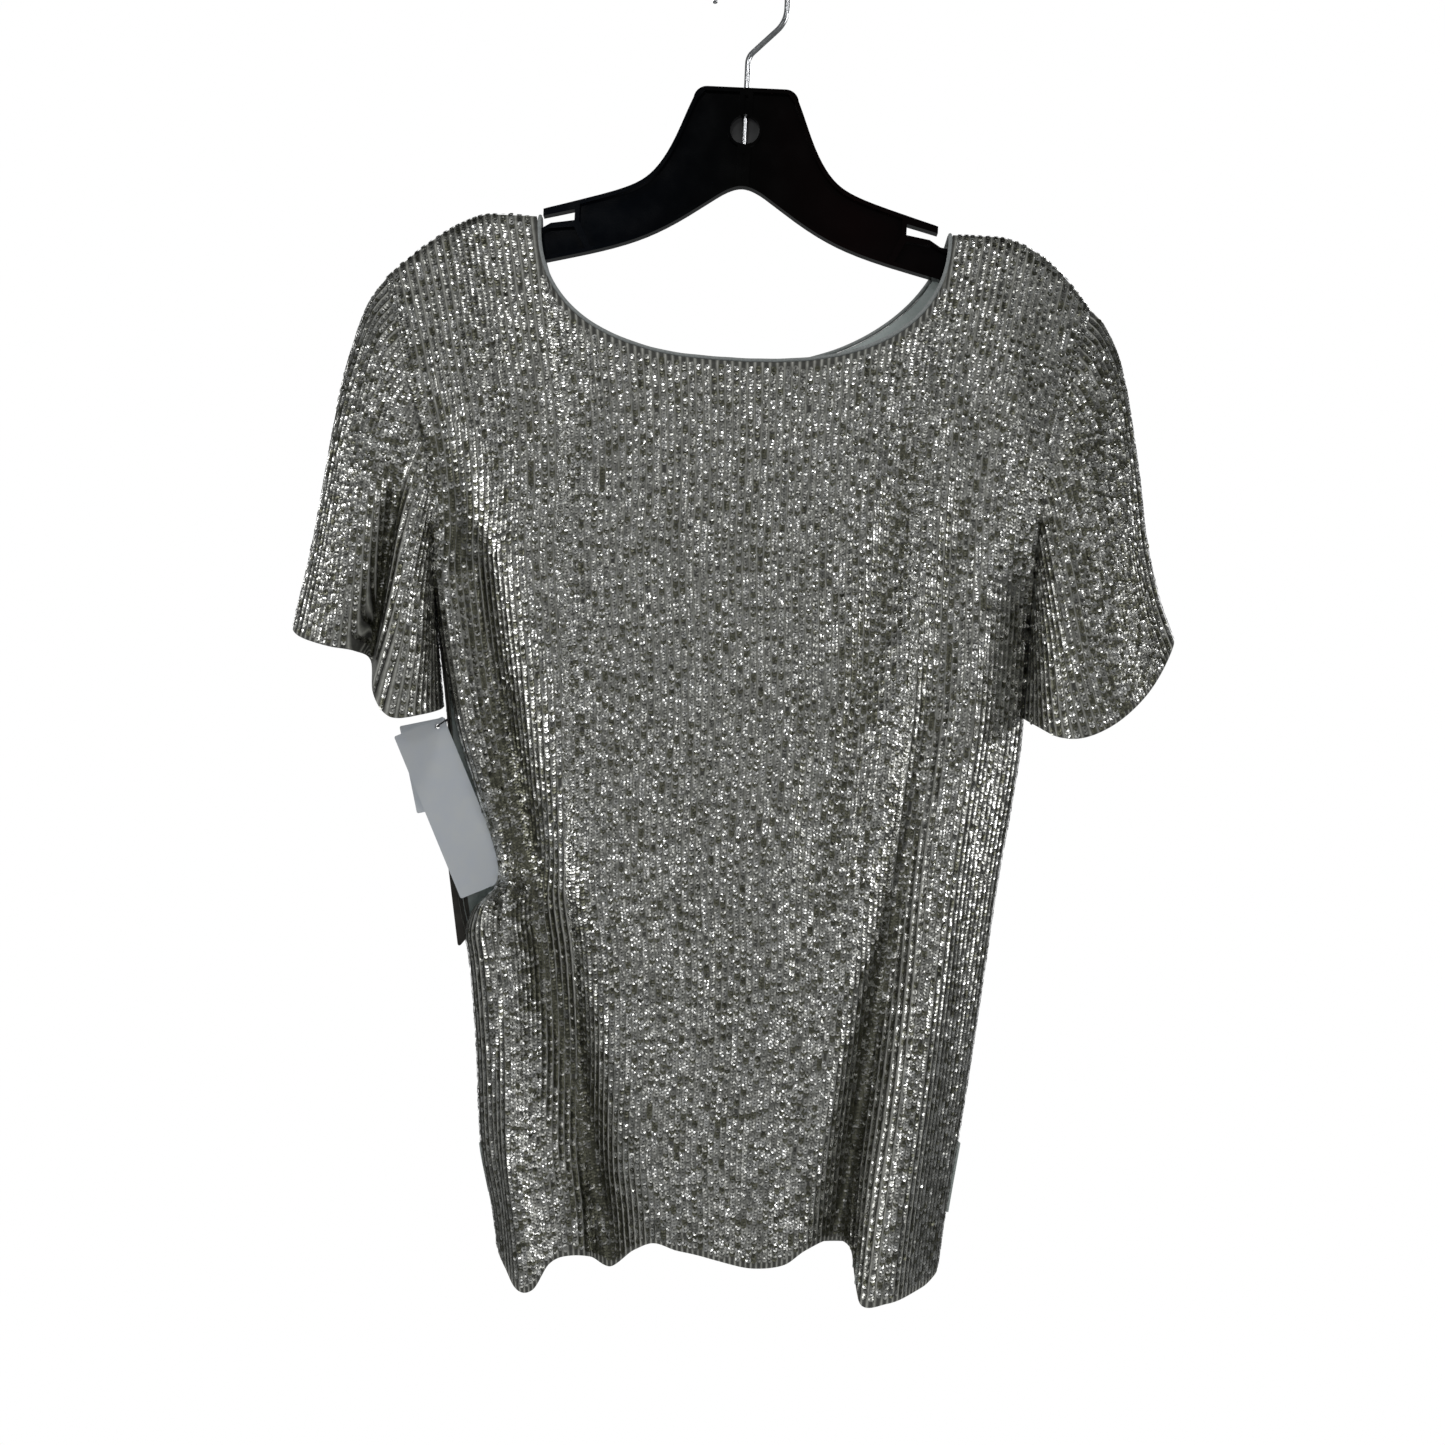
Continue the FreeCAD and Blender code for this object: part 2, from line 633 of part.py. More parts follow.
os.makedirs("parts", exist_ok=True)
for name, shape in nodes.items():
    shape.exportStep("parts/" + name + ".step")
    box = shape.BoundBox
    print(name, shape.isValid(), len(shape.Solids), round(shape.Volume),
          [round(c, 1) for c in (box.XMin, box.XMax, box.YMin, box.YMax, box.ZMin, box.ZMax)])
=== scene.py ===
import math
import bpy
import numpy as np
from mathutils import Matrix


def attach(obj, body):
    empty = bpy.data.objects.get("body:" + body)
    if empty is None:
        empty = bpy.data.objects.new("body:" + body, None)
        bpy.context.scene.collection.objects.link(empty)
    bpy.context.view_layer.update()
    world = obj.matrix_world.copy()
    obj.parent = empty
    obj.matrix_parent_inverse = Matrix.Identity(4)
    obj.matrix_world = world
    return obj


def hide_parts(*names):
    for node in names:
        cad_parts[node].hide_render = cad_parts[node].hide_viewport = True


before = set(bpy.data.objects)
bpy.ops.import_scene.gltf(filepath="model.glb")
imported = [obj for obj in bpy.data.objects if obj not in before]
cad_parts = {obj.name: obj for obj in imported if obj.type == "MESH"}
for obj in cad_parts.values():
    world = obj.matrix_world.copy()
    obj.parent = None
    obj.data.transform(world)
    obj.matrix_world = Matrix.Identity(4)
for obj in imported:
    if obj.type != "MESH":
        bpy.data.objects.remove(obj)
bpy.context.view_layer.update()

# Silver sequin party top on a glossy black hanger. The surfaces below are in millimetres, in the
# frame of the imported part, and become metres as each mesh is made. "Near" is the side that faces
# the camera.

rng = np.random.default_rng(20)

# --- sizes --------------------------------------------------------------------------------------

SHOULDER_Z = -174.0
TIP_X = 224.0
TIP_DROP = 43.0
FLAT_X = 160.0
ARM_WRAP_R = 10.5
HEM_Z = -829.0
UNDERARM_Z = -415.0
ARMHOLE_DEPTH = 24.0
NECK_TOP = SHOULDER_Z - 0.1
NECK_DEPTH = 89.0
NECK_HALF_WIDTH = 131.0
NECK_CENTRE = 3.0
NECK_SHIFT_FAR = -30.0

SEQUIN_R = 1.78
HOLE_R = 0.5
SEAM_HALF_WIDTH = 4.5        # groove along the near side's left seam
SEAM_DEPTH = 4.0
CUP = 0.2                    # how far a sequin's rim stands in front of its hole
ROW_PITCH = 4.24             # between rows
SEQUIN_PITCH = 1.95          # along a row
BASE_TILT = 5.0              # degrees each sequin leans back, as it overlaps the next
TILT_SPREAD = 3.8            # degrees, one standard deviation
LOOSE_SHARE = 0.03           # sequins hanging well out of line

LEFT = [(-217, -224), (-250, -214), (-290, -203), (-333, -191), (-380, -185), (-415, -185),
        (-500, -173), (-560, -167), (-613, -161), (-651, -151), (-702, -143.6), (-766, -138),
        (-804, -129.3), (-838, -123.5)]
LEFT_SEAM = [(-217, -185), (-470, -180), (-500, -170), (-550, -150), (-590, -134), (-620, -131),
             (-680, -130), (-760, -127), (-838, -116)]
RIGHT = [(-217, 225), (-250, 217), (-290, 208), (-333, 200), (-380, 196), (-415, 196),
         (-495, 194), (-533, 190), (-585, 183), (-662, 175), (-726, 168), (-804, 158), (-838, 155)]
DEPTH = [(0, 0.0), (-30, 5.0), (-100, 14.0), (-250, 24.0), (-450, 29.0), (-660, 32.0)]

# Beside the swing tags the near side is drawn in, so that they hang clear of it.
TAG_DENT = [(-415, 0), (-500, 6), (-549, 18), (-588, 28), (-603, 25), (-620, 8), (-640, 0), (-838, 0)]

# Hanging folds: x at FOLD_TOP, x at the hem, outward swell at each, and half width.
FOLD_TOP = -440.0
FOLD_START = -225.0
NEAR_FOLDS = [(-174, -106, 4, 20, 15), (-153, -50, -13, -16, 17), (-128, -22, 2, 8, 14),
              (-100, 4, -2, -4, 14), (-108, 4, 7, 12, 22), (34, 38, 0, 14, 34),
              (98, 24, -7, 0, 16), (116, 66, 6, 4, 14), (142, 88, -6, -16, 14),
              (160, 119, 7, 29, 19)]
FAR_FOLDS = [(-150, -100, 4, 24, 18), (-112, -62, -6, -22, 15), (-60, -18, 5, 22, 20),
             (0, 24, -6, -20, 16), (60, 62, 5, 24, 20), (115, 100, -6, -18, 15),
             (160, 135, 5, 20, 16)]
# Short creases on the near side: height outward, then x at the top and foot, z at both, half width.
NEAR_CREASES = [(2.6, 96, 68, -300, -560, 9), (-2.4, 78, 52, -310, -600, 8),
                (2.0, -150, -118, -215, -430, 12)]
# The near hem's height by x, listed from the right.
NEAR_HEM = [(156, -835), (145, -842), (121, -845), (109, -847), (102.5, -830), (99, -817),
            (86, -814), (69, -817), (56, -825), (37, -827), (13, -823), (-10, -819), (-25, -816),
            (-38, -825), (-52, -838), (-64, -831), (-78, -830), (-90, -835), (-99, -850), (-111, -850),
            (-124, -836)]

# --- small helpers ------------------------------------------------------------------------------


def smooth(t):
    t = np.clip(t, 0.0, 1.0)
    return t * t * (3.0 - 2.0 * t)


def profile(knots, at):
    """Smooth value through (position, value) knots listed from the highest position down."""
    place = np.array([knot[0] for knot in knots], dtype=float)
    value = np.array([knot[1] for knot in knots], dtype=float)
    count = len(knots)
    low = np.minimum(np.arange(count) + 1, count - 1)
    high = np.maximum(np.arange(count) - 1, 0)
    slope = (value[low] - value[high]) / (place[high] - place[low])
    at = np.clip(at, place[-1], place[0])
    i = np.clip(np.searchsorted(-place, -at, side="right") - 1, 0, count - 2)
    span = place[i] - place[i + 1]
    t = (place[i] - at) / span
    return (value[i] * (2 * t**3 - 3 * t**2 + 1) + value[i + 1] * (3 * t**2 - 2 * t**3)
            + span * slope[i] * (t**3 - 2 * t**2 + t) + span * slope[i + 1] * (t**3 - t**2))


def shoulder_z(x):
    past = np.maximum(0.0, (np.abs(x) - FLAT_X) / (TIP_X - FLAT_X))
    return SHOULDER_Z - TIP_DROP * past**np.where(x > 0, 2.0, 1.5)


def bump_line(x, z, x_top, x_foot, z_top, z_foot, width):
    """A soft ridge that runs from one point to another down the cloth."""
    along = (z_top - z) / (z_top - z_foot)
    centre = x_top + (x_foot - x_top) * along
    fade = smooth(along * 4) * smooth((1 - along) * 4)
    return np.exp(-((x - centre) / width)**2) * fade


def fold_swell(folds, x, z):
    drop = (FOLD_TOP - z) / (FOLD_TOP - HEM_Z)
    swell = np.zeros_like(x)
    for x_top, x_hem, at_top, at_hem, half_width in folds:
        centre = x_top + (x_hem - x_top) * drop
        height = at_top + (at_hem - at_top) * np.maximum(0.0, drop)
        swell += height * np.exp(-((x - centre) / half_width)**2)
    return swell * smooth((FOLD_START - z) / (FOLD_START - FOLD_TOP))


def ripple(x, z):
    """Shallow wandering wrinkles, so that the cloth is never quite even."""
    wave = np.sin(x * 0.115 + 1.3 * np.sin(z * 0.011)) * np.sin(z * 0.021 + x * 0.013)
    fine = np.sin(x * 0.31 + 2.0 * np.sin(z * 0.017 + 1.0)) * np.sin(z * 0.043 + 0.7)
    return 0.9 * wave + 0.45 * fine


def torso(side, s, v):
    """Outer face of the near (side -1) or far (side 1) half: s across, v down, as N x 3 points."""
    s, v = np.broadcast_arrays(np.clip(s, -1.0, 1.0), np.clip(v, 0.0, 1.0))
    angle = s * math.pi / 2
    tip_z = shoulder_z(TIP_X)
    level = tip_z * (1 - v) + HEM_Z * v
    left = profile(LEFT, level)
    right = profile(RIGHT, level)
    x = (left + right) / 2 + (right - left) / 2 * np.sin(angle)
    if side < 0:
        x = x + profile(TAG_DENT, level) * smooth((-s - 0.3) / 0.65)
    top = shoulder_z(TIP_X * np.sin(angle))
    z = top * (1 - v) + HEM_Z * v
    below = top - z
    wrap = np.sqrt(np.clip(ARM_WRAP_R**2 - (ARM_WRAP_R - below)**2, 0.0, None))
    depth = np.where(below < ARM_WRAP_R, wrap, ARM_WRAP_R + profile(DEPTH, ARM_WRAP_R - below))
    share = np.clip((tip_z - level) / (tip_z - UNDERARM_Z), 0.0, 1.0)
    edge = np.minimum(depth, ARMHOLE_DEPTH * np.sin(math.pi * share)**0.7)
    fall = 0.85 - 0.6 * smooth((55 - below) / 40)
    y = edge + (depth - edge) * np.clip(np.cos(angle), 0.0, None)**fall
    inner = 1 - np.abs(s)**8
    swell = fold_swell(NEAR_FOLDS if side < 0 else FAR_FOLDS, x, z) * inner
    y = y + swell + ripple(x * side, z) * inner * smooth((below - 8) / 60)
    if side < 0:
        for height, *line in NEAR_CREASES:
            y = y + height * inner * bump_line(x, z, *line)
        groove = np.exp(-((x - profile(LEFT_SEAM, level)) / SEAM_HALF_WIDTH)**2)
        groove = groove * smooth((UNDERARM_Z - 60 - level) / 60)
        y = y - SEAM_DEPTH * inner * groove
        z = z + (profile(NEAR_HEM, x) - HEM_Z) * v**6
        x = x - 5.0 * np.exp(-((x - 110) / 9)**2) * v**5
    else:
        z = z - 0.3 * swell * v * v
    return np.stack([x, side * np.maximum(y, 0.1), z], axis=-1)


def neck_at(side, turn, out=0.0):
    """x and z on the neckline, turn from 0 at the left to 1 at the right."""
    shift = NECK_SHIFT_FAR * smooth((turn - 0.1) / 0.6) if side > 0 else 0.0
    angle = math.pi * turn
    share = (1 - np.abs(np.cos(angle))**2.5)**(1 / 2.4)
    return (NECK_CENTRE - (NECK_HALF_WIDTH + out) * np.cos(angle) + shift * share**1.2,
            NECK_TOP - (NECK_DEPTH + out) * share)


def neck_z(side, x, out):
    """Height of the neckline at x, and above everything beside it."""
    turn = np.linspace(0, 1, 4001)
    line_x, line_z = neck_at(side, turn, out)
    return np.interp(x, line_x, line_z, left=1e3, right=1e3)


def column_top(side, s, out):
    """Share of the height at which each column of cloth starts, lower under the neckline."""
    v = np.linspace(0, 0.3, 1201)
    points = torso(side, s[:, None], v[None, :])
    cloth = points[..., 2] <= neck_z(side, points[..., 0], out)
    first = np.argmax(cloth, axis=1)
    tops = v[first]
    tops[first <= 1] = 0.0
    return tops


def sleeve_maker(mirror, hem_knots, cap, valley):
    """Outer face of a sleeve: turn from 0 at the outside through the near side, w down."""
    turns = np.array([knot[0] for knot in hem_knots], dtype=float)
    loop = np.array([knot[1:] for knot in hem_knots], dtype=float)

    def hem(turn):
        """A smooth closed curve through the hem's knots."""
        i = np.searchsorted(turns, turn, side="right") - 1
        i = np.clip(i, 0, len(turns) - 2)
        t = ((turn - turns[i]) / (turns[i + 1] - turns[i]))[..., None]
        count = len(turns) - 1
        before = loop[(i - 1) % count]
        after = loop[(i + 2) % count]
        start = loop[i]
        end = loop[i + 1]
        square = 2 * before - 5 * start + 4 * end - after
        cube = 3 * start - before - 3 * end + after
        return 0.5 * (2 * start + (end - before) * t + square * t**2 + cube * t**3)

    def surface(turn, w):
        turn, w = np.broadcast_arrays(np.clip(turn, 0.0, 1.0), np.clip(w, 0.0, 1.0))
        tip_z = shoulder_z(TIP_X)
        near = turn < 0.5
        share = np.where(near, 2 * turn, 2 * (1 - turn))
        v = share * (tip_z - UNDERARM_Z) / (tip_z - HEM_Z)
        side = np.full_like(v, float(mirror))
        start = np.where(near[..., None], torso(-1, side, v), torso(1, side, v))
        start = start + np.array([mirror * 0.8, 0.0, 0.0])
        end = hem(turn)
        down = w[..., None]
        around = (1 + np.cos(2 * math.pi * turn)) / 2
        middle = start + (end - start) * down
        outward = mirror * profile(cap, -w) * around**1.5
        swell = 5.0 * np.sin(math.pi * w) * np.sin(2 * math.pi * turn)
        crease = 1.6 * np.sin(turn * 40 + w * 5) * np.sin(math.pi * w)
        crease = crease * np.abs(np.sin(2 * math.pi * turn))
        hollow = valley * np.exp(-((turn - VALLEY_TURN) / VALLEY_WIDTH)**2) * smooth(w * 1.6)
        middle = middle + np.stack([outward, hollow - swell - crease, np.zeros_like(w)], axis=-1)
        return middle

    return surface


# Hems of the sleeves as turn, x, y and z: outside, near side, underarm, far side.
LEFT_HEM = [(0.0, -273, -2, -444), (0.06, -267, -16, -450), (0.14, -248, -26, -455),
            (0.20, -232, -24, -457), (0.245, -223, -8, -462), (0.29, -218, -24, -484),
            (0.35, -205, -36, -498), (0.44, -187, -28, -496), (0.5, -176, 0, -490),
            (0.60, -200, 26, -484), (0.75, -228, 38, -460), (0.90, -258, 26, -446),
            (1.0, -273, -2, -444)]
RIGHT_HEM = [(0.0, 288, -2, -427), (0.05, 282, -16, -442), (0.12, 268, -30, -463),
             (0.20, 249, -40, -481), (0.28, 230, -42, -491), (0.36, 214, -36, -492),
             (0.43, 202, -20, -486), (0.5, 194, 0, -480), (0.60, 206, 24, -480),
             (0.75, 240, 42, -474), (0.90, 274, 26, -448), (1.0, 288, -2, -427)]
# How far each sleeve's outside stands beyond a straight line, by share of the way down.
LEFT_CAP = [(0, 0), (-0.07, 6.5), (-0.18, 9.5), (-0.35, 9.8), (-0.58, 5.5), (-0.75, 2), (-0.86, 1), (-1, 0)]
RIGHT_CAP = [(0, 0), (-0.04, 6), (-0.15, 10.6), (-0.33, 8.7), (-0.52, 4), (-0.70, -1.4), (-0.88, -2.7),
             (-1, 0)]
VALLEY_TURN = 0.235
VALLEY_WIDTH = 0.05
left_sleeve = sleeve_maker(-1, LEFT_HEM, LEFT_CAP, 6.5)
right_sleeve = sleeve_maker(1, RIGHT_HEM, RIGHT_CAP, 1.5)


def normals(surface, u, v, outward):
    """Unit normals, the tangent down, and the points themselves."""
    step = 2e-3
    points = surface(u, v)
    across = surface(u + step, v) - surface(u - step, v)
    down = surface(u, v + step) - surface(u, v - step)
    normal = np.cross(across, down) * outward
    normal /= np.linalg.norm(normal, axis=-1, keepdims=True) + 1e-12
    down /= np.linalg.norm(down, axis=-1, keepdims=True) + 1e-12
    return points, normal, down


# --- meshes -------------------------------------------------------------------------------------


def make_mesh(name, points, faces, materials, body, uv=None, index=None, shade=True):
    """A mesh object from points in millimetres and equal-sided faces, riding on a body."""
    mesh = bpy.data.meshes.new(name)
    faces = np.asarray(faces, dtype=np.int32)
    sides = faces.shape[1]
    mesh.vertices.add(len(points))
    mesh.vertices.foreach_set("co", (np.asarray(points) * 0.001).astype(np.float32).ravel())
    mesh.loops.add(faces.size)
    mesh.loops.foreach_set("vertex_index", faces.ravel())
    mesh.polygons.add(len(faces))
    mesh.polygons.foreach_set("loop_start", np.arange(0, faces.size, sides, dtype=np.int32))
    mesh.polygons.foreach_set("loop_total", np.full(len(faces), sides, dtype=np.int32))
    mesh.polygons.foreach_set("use_smooth", np.full(len(faces), shade, dtype=bool))
    for material in materials:
        mesh.materials.append(material)
    if index is not None:
        mesh.polygons.foreach_set("material_index", index.astype(np.int32))
    if uv is not None:
        layer = mesh.uv_layers.new(name="rows")
        layer.data.foreach_set("uv", uv[faces.ravel()].astype(np.float32).ravel())
    mesh.update()
    mesh.validate()
    obj = bpy.data.objects.new(name, mesh)
    bpy.context.scene.collection.objects.link(obj)
    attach(obj, body)
    return obj


def grid_faces(rows, columns, closed=False, flip=False):
    """Quads over a grid of points stored row by row."""
    last = columns if closed else columns - 1
    r, c = np.meshgrid(np.arange(rows - 1), np.arange(last), indexing="ij")
    n = (c + 1) % columns
    here = r * columns
    below = here + columns
    quads = np.stack([here + c, here + n, below + n, below + c], -1).reshape(-1, 4)
    return quads[:, ::-1] if flip else quads


def row_lengths(points):
    """Distance travelled across each row of a grid of points."""
    steps = np.linalg.norm(np.diff(points, axis=1), axis=-1)
    return np.concatenate([np.zeros((len(points), 1)), np.cumsum(steps, axis=1)], axis=1)


def panel_grid(side, out, last, depth, columns=300, rows=330):
    """Points of half the torso, a depth inside its outer face, from shoulder and neck down."""
    even = np.linspace(-1, 1, columns)
    s = np.sin(even * math.pi / 2) * 0.35 + even * 0.65
    for corner in (-1, 1):
        edge = np.arcsin((NECK_CENTRE + corner * (NECK_HALF_WIDTH + out)) / TIP_X) * 2 / math.pi
        nearest = np.argmin(np.abs(s - edge))
        s[nearest] = edge + corner * 1e-4
    tops = column_top(side, s, out)
    t = np.linspace(0, 1, rows)
    t = 0.12 * t**0.5 * (1 - t) + t * (0.88 + 0.12 * t)
    v = tops[None, :] + (last - tops[None, :]) * t[:, None]
    points, normal, _ = normals(lambda u, w: torso(side, u, w), s[None, :] + 0 * v, v, -side)
    points = points - side_out(side, normal) * depth
    return s, v, points


def side_out(side, normal):
    """The normal turned to point away from the middle plane on its own side."""
    flip = np.where(normal[..., 1:2] * side < 0, -1.0, 1.0)
    return normal * flip


def sequin_mesh(name, centre, normal, down, hollow, body, sides, seed):
    """Cupped discs with a hole, shingled along their row, each a little out of true."""
    pick = np.random.default_rng(seed)
    count = len(centre)
    across = np.cross(normal, down)
    across /= np.linalg.norm(across, axis=-1, keepdims=True) + 1e-12
    down = np.cross(across, normal)
    loose = np.where(pick.random(count) < LOOSE_SHARE, 3.5, 1.0)
    nod = np.radians(BASE_TILT + pick.normal(0, TILT_SPREAD, count) * loose)[:, None]
    yaw = np.radians(pick.normal(0, TILT_SPREAD, count) * loose)[:, None]
    axis_down = down * np.cos(nod) + normal * np.sin(nod)
    face = normal * np.cos(nod) - down * np.sin(nod)
    axis_across = across * np.cos(yaw) + face * np.sin(yaw)
    face = face * np.cos(yaw) - across * np.sin(yaw)
    turn = np.linspace(0, 2 * math.pi, sides, endpoint=False)[None, :] + pick.random(count)[:, None]
    ring = (np.cos(turn)[..., None] * axis_across[:, None, :]
            + np.sin(turn)[..., None] * axis_down[:, None, :])
    middle = centre[:, None, :] + face[:, None, :] * 0.35
    outer = middle + ring * SEQUIN_R + face[:, None, :] * CUP
    inner = middle + ring * HOLE_R
    points = np.concatenate([outer, inner], axis=1).reshape(-1, 3)
    k = np.arange(sides)
    n = (k + 1) % sides
    quad = np.stack([k, n, n + sides, k + sides], -1)
    faces = (np.arange(count)[:, None, None] * 2 * sides + quad[None]).reshape(-1, 4)
    # Where hollow is high the darker mix is used, as painted shade in fold valleys and on the right sleeve.
    open_kind = pick.choice(len(SEQUINS), size=count, p=OPEN_WEIGHTS)
    painted_shade_kind = pick.choice(len(SEQUINS), size=count, p=PAINTED_SHADE_WEIGHTS)
    kind = np.where(pick.random(count) < hollow, painted_shade_kind, open_kind)
    return make_mesh(name, points, faces, SEQUINS, body, index=np.repeat(kind, sides), shade=False)


# --- materials ----------------------------------------------------------------------------------


def shader(name, **values):
    """A new material and its Principled shader, with constants set on the shader's sockets."""
    material = bpy.data.materials.new(name)
    material.use_nodes = True
    tree = material.node_tree
    principled = tree.nodes["Principled BSDF"]
    for key, value in values.items():
        socket = principled.inputs[key.replace("_", " ")]
        if isinstance(value, tuple) and len(value) == 3:
            value = (*value, 1.0)
        socket.default_value = value
    return material, tree, principled


def node(tree, kind, **settings):
    made = tree.nodes.new(kind)
    for key, value in settings.items():
        if key in made.inputs:
            made.inputs[key].default_value = value
        else:
            setattr(made, key, value)
    return made


def ramp(tree, factor, stops):
    """A colour ramp fed by a factor, from (position, colour) stops."""
    made = tree.nodes.new("ShaderNodeValToRGB")
    elements = made.color_ramp.elements
    while len(elements) < len(stops):
        elements.new(0.5)
    for element, (place, colour) in zip(elements, stops):
        element.position = place
        element.color = (*colour, 1.0)
    tree.links.new(factor, made.inputs["Fac"])
    return made.outputs["Color"]


def noise(tree, scale, detail=3.0):
    place = tree.nodes.new("ShaderNodeTexCoord")
    made = node(tree, "ShaderNodeTexNoise", Scale=scale, Detail=detail)
    tree.links.new(place.outputs["Object"], made.inputs["Vector"])
    return made.outputs["Fac"]


def bump(tree, height, principled, strength, distance):
    made = node(tree, "ShaderNodeBump", Strength=strength, Distance=distance)
    tree.links.new(height, made.inputs["Height"])
    tree.links.new(made.outputs["Normal"], principled.inputs["Normal"])


def mottled(name, dark, light, scale, rough=(0.4, 0.6), bumps=0.3, distance=0.0004, **values):
    """A surface whose colour, roughness and relief all vary with a fine noise."""
    material, tree, principled = shader(name, **values)
    grain = noise(tree, scale)
    tree.links.new(ramp(tree, grain, [(0.3, dark), (0.7, light)]), principled.inputs["Base Color"])
    low, high = rough
    tone = ramp(tree, noise(tree, scale * 0.3), [(0.3, (low,) * 3), (0.7, (high,) * 3)])
    tree.links.new(tone, principled.inputs["Roughness"])
    bump(tree, grain, principled, bumps, distance)
    return material


def knit_material():
    """Grey knit with a pale thread between the rows of sequins and shadow along them."""
    material, tree, principled = shader("sequin_knit", Roughness=0.7)
    place = tree.nodes.new("ShaderNodeUVMap")
    place.uv_map = "rows"
    split = tree.nodes.new("ShaderNodeSeparateXYZ")
    tree.links.new(place.outputs["UV"], split.inputs["Vector"])
    part = node(tree, "ShaderNodeMath", operation="FRACT")
    tree.links.new(split.outputs["X"], part.inputs[0])
    centred = node(tree, "ShaderNodeMath", operation="SUBTRACT")
    centred.inputs[1].default_value = 0.5
    tree.links.new(part.outputs["Value"], centred.inputs[0])
    away = node(tree, "ShaderNodeMath", operation="ABSOLUTE")
    tree.links.new(centred.outputs["Value"], away.inputs[0])
    stripes = ramp(tree, away.outputs["Value"],
                   [(0.0, (0.80, 0.80, 0.75)), (0.14, (0.42, 0.42, 0.39)), (0.30, (0.13, 0.13, 0.12))])
    patches = ramp(tree, noise(tree, 260.0, 4.0), [(0.3, (0.45, 0.45, 0.42)), (0.7, (1.0, 1.0, 0.97))])
    both = node(tree, "ShaderNodeMix", data_type="RGBA", blend_type="MULTIPLY")
    both.inputs["Factor"].default_value = 0.75
    tree.links.new(stripes, both.inputs["A"])
    tree.links.new(patches, both.inputs["B"])
    tree.links.new(both.outputs["Result"], principled.inputs["Base Color"])
    bump(tree, noise(tree, 900.0), principled, 0.5, 0.0004)
    return material


def hanger_material():
    """Glossy black moulding: a painted cool reflection on the left arm, a painted warm one on the right,
    faint wear.
    """
    material, tree, principled = shader("gloss_black_plastic", Specular_IOR_Level=0.12)
    place = tree.nodes.new("ShaderNodeTexCoord")
    split = tree.nodes.new("ShaderNodeSeparateXYZ")
    tree.links.new(place.outputs["Object"], split.inputs["Vector"])
    spread = node(tree, "ShaderNodeMapRange")
    spread.inputs["From Min"].default_value = -0.2
    spread.inputs["From Max"].default_value = 0.2
    tree.links.new(split.outputs["X"], spread.inputs["Value"])
    # Painted reflection: the base colour turns navy on the left arm and red-brown on the right, by x.
    painted_reflection_tint = ramp(tree, spread.outputs["Result"],
                [(0.25, (0.0005, 0.002, 0.005)), (0.5, (0.0005, 0.0005, 0.0005)),
                 (0.68, (0.005, 0.0015, 0.0015)), (0.9, (0.001, 0.001, 0.0015))])
    tree.links.new(painted_reflection_tint, principled.inputs["Base Color"])
    tone = ramp(tree, noise(tree, 60.0), [(0.35, (0.12,) * 3), (0.75, (0.24,) * 3)])
    tree.links.new(tone, principled.inputs["Roughness"])
    bump(tree, noise(tree, 35.0, 1.0), principled, 0.05, 0.0006)
    return material


def chrome_material():
    material, tree, principled = shader("chromed_wire", Metallic=1.0)
    grain = noise(tree, 420.0)
    tree.links.new(ramp(tree, grain, [(0.3, (0.62, 0.63, 0.65)), (0.7, (0.86, 0.87, 0.89))]),
                   principled.inputs["Base Color"])
    tree.links.new(ramp(tree, noise(tree, 90.0), [(0.3, (0.10,) * 3), (0.7, (0.22,) * 3)]),
                   principled.inputs["Roughness"])
    return material


KNIT = knit_material()
HANGER = hanger_material()
CHROME = chrome_material()
GREY_DISC = mottled("grey_plastic", (0.05, 0.05, 0.052), (0.085, 0.085, 0.088), 120.0, (0.3, 0.45), 0.2)
LINING = mottled("mint_grey_jersey", (0.74, 0.82, 0.80), (0.84, 0.90, 0.88), 700.0, (0.75, 0.9), 0.35)
BINDING = mottled("rolled_grey_jersey", (0.34, 0.36, 0.36), (0.50, 0.53, 0.52), 900.0, (0.6, 0.8), 0.6)
HEM = mottled("plain_grey_knit", (0.15, 0.15, 0.14), (0.27, 0.27, 0.25), 800.0, (0.7, 0.85), 0.5)
LABEL = mottled("woven_label", (0.70, 0.70, 0.68), (0.82, 0.82, 0.80), 1200.0, (0.6, 0.8), 0.4)
CARD = mottled("blue_grey_card", (0.88, 0.93, 1.0), (0.93, 0.97, 1.0), 90.0, (0.35, 0.5), 0.08)
# The rear swing tag's card is coloured dark brown-grey as painted shade, for a card turned away from the
# light.
PAINTED_SHADE_CARD = mottled("dark_card", (0.030, 0.027, 0.022), (0.05, 0.046, 0.038), 150.0, (0.4, 0.6), 0.1)
FILAMENT = mottled("nylon_filament", (0.02, 0.02, 0.022), (0.06, 0.06, 0.065), 900.0, (0.25, 0.4), 0.1)
SEQUINS = [shader("sequin_silver", Base_Color=(0.95, 0.95, 0.92), Metallic=1.0, Roughness=0.24)[0],
           shader("sequin_steel", Base_Color=(0.62, 0.62, 0.58), Metallic=1.0, Roughness=0.30)[0],
           shader("sequin_gunmetal", Base_Color=(0.36, 0.36, 0.335), Metallic=1.0, Roughness=0.32)[0],
           shader("sequin_olive", Base_Color=(0.16, 0.16, 0.12), Metallic=1.0, Roughness=0.36)[0]]
OPEN_WEIGHTS = [0.24, 0.31, 0.28, 0.17]
# Darker mix of sequins, used as painted shade in fold valleys and on the right sleeve.
PAINTED_SHADE_WEIGHTS = [0.01, 0.05, 0.24, 0.70]

# --- torso --------------------------------------------------------------------------------------

BODY = "hanger"
NECK_OUT = 1.2
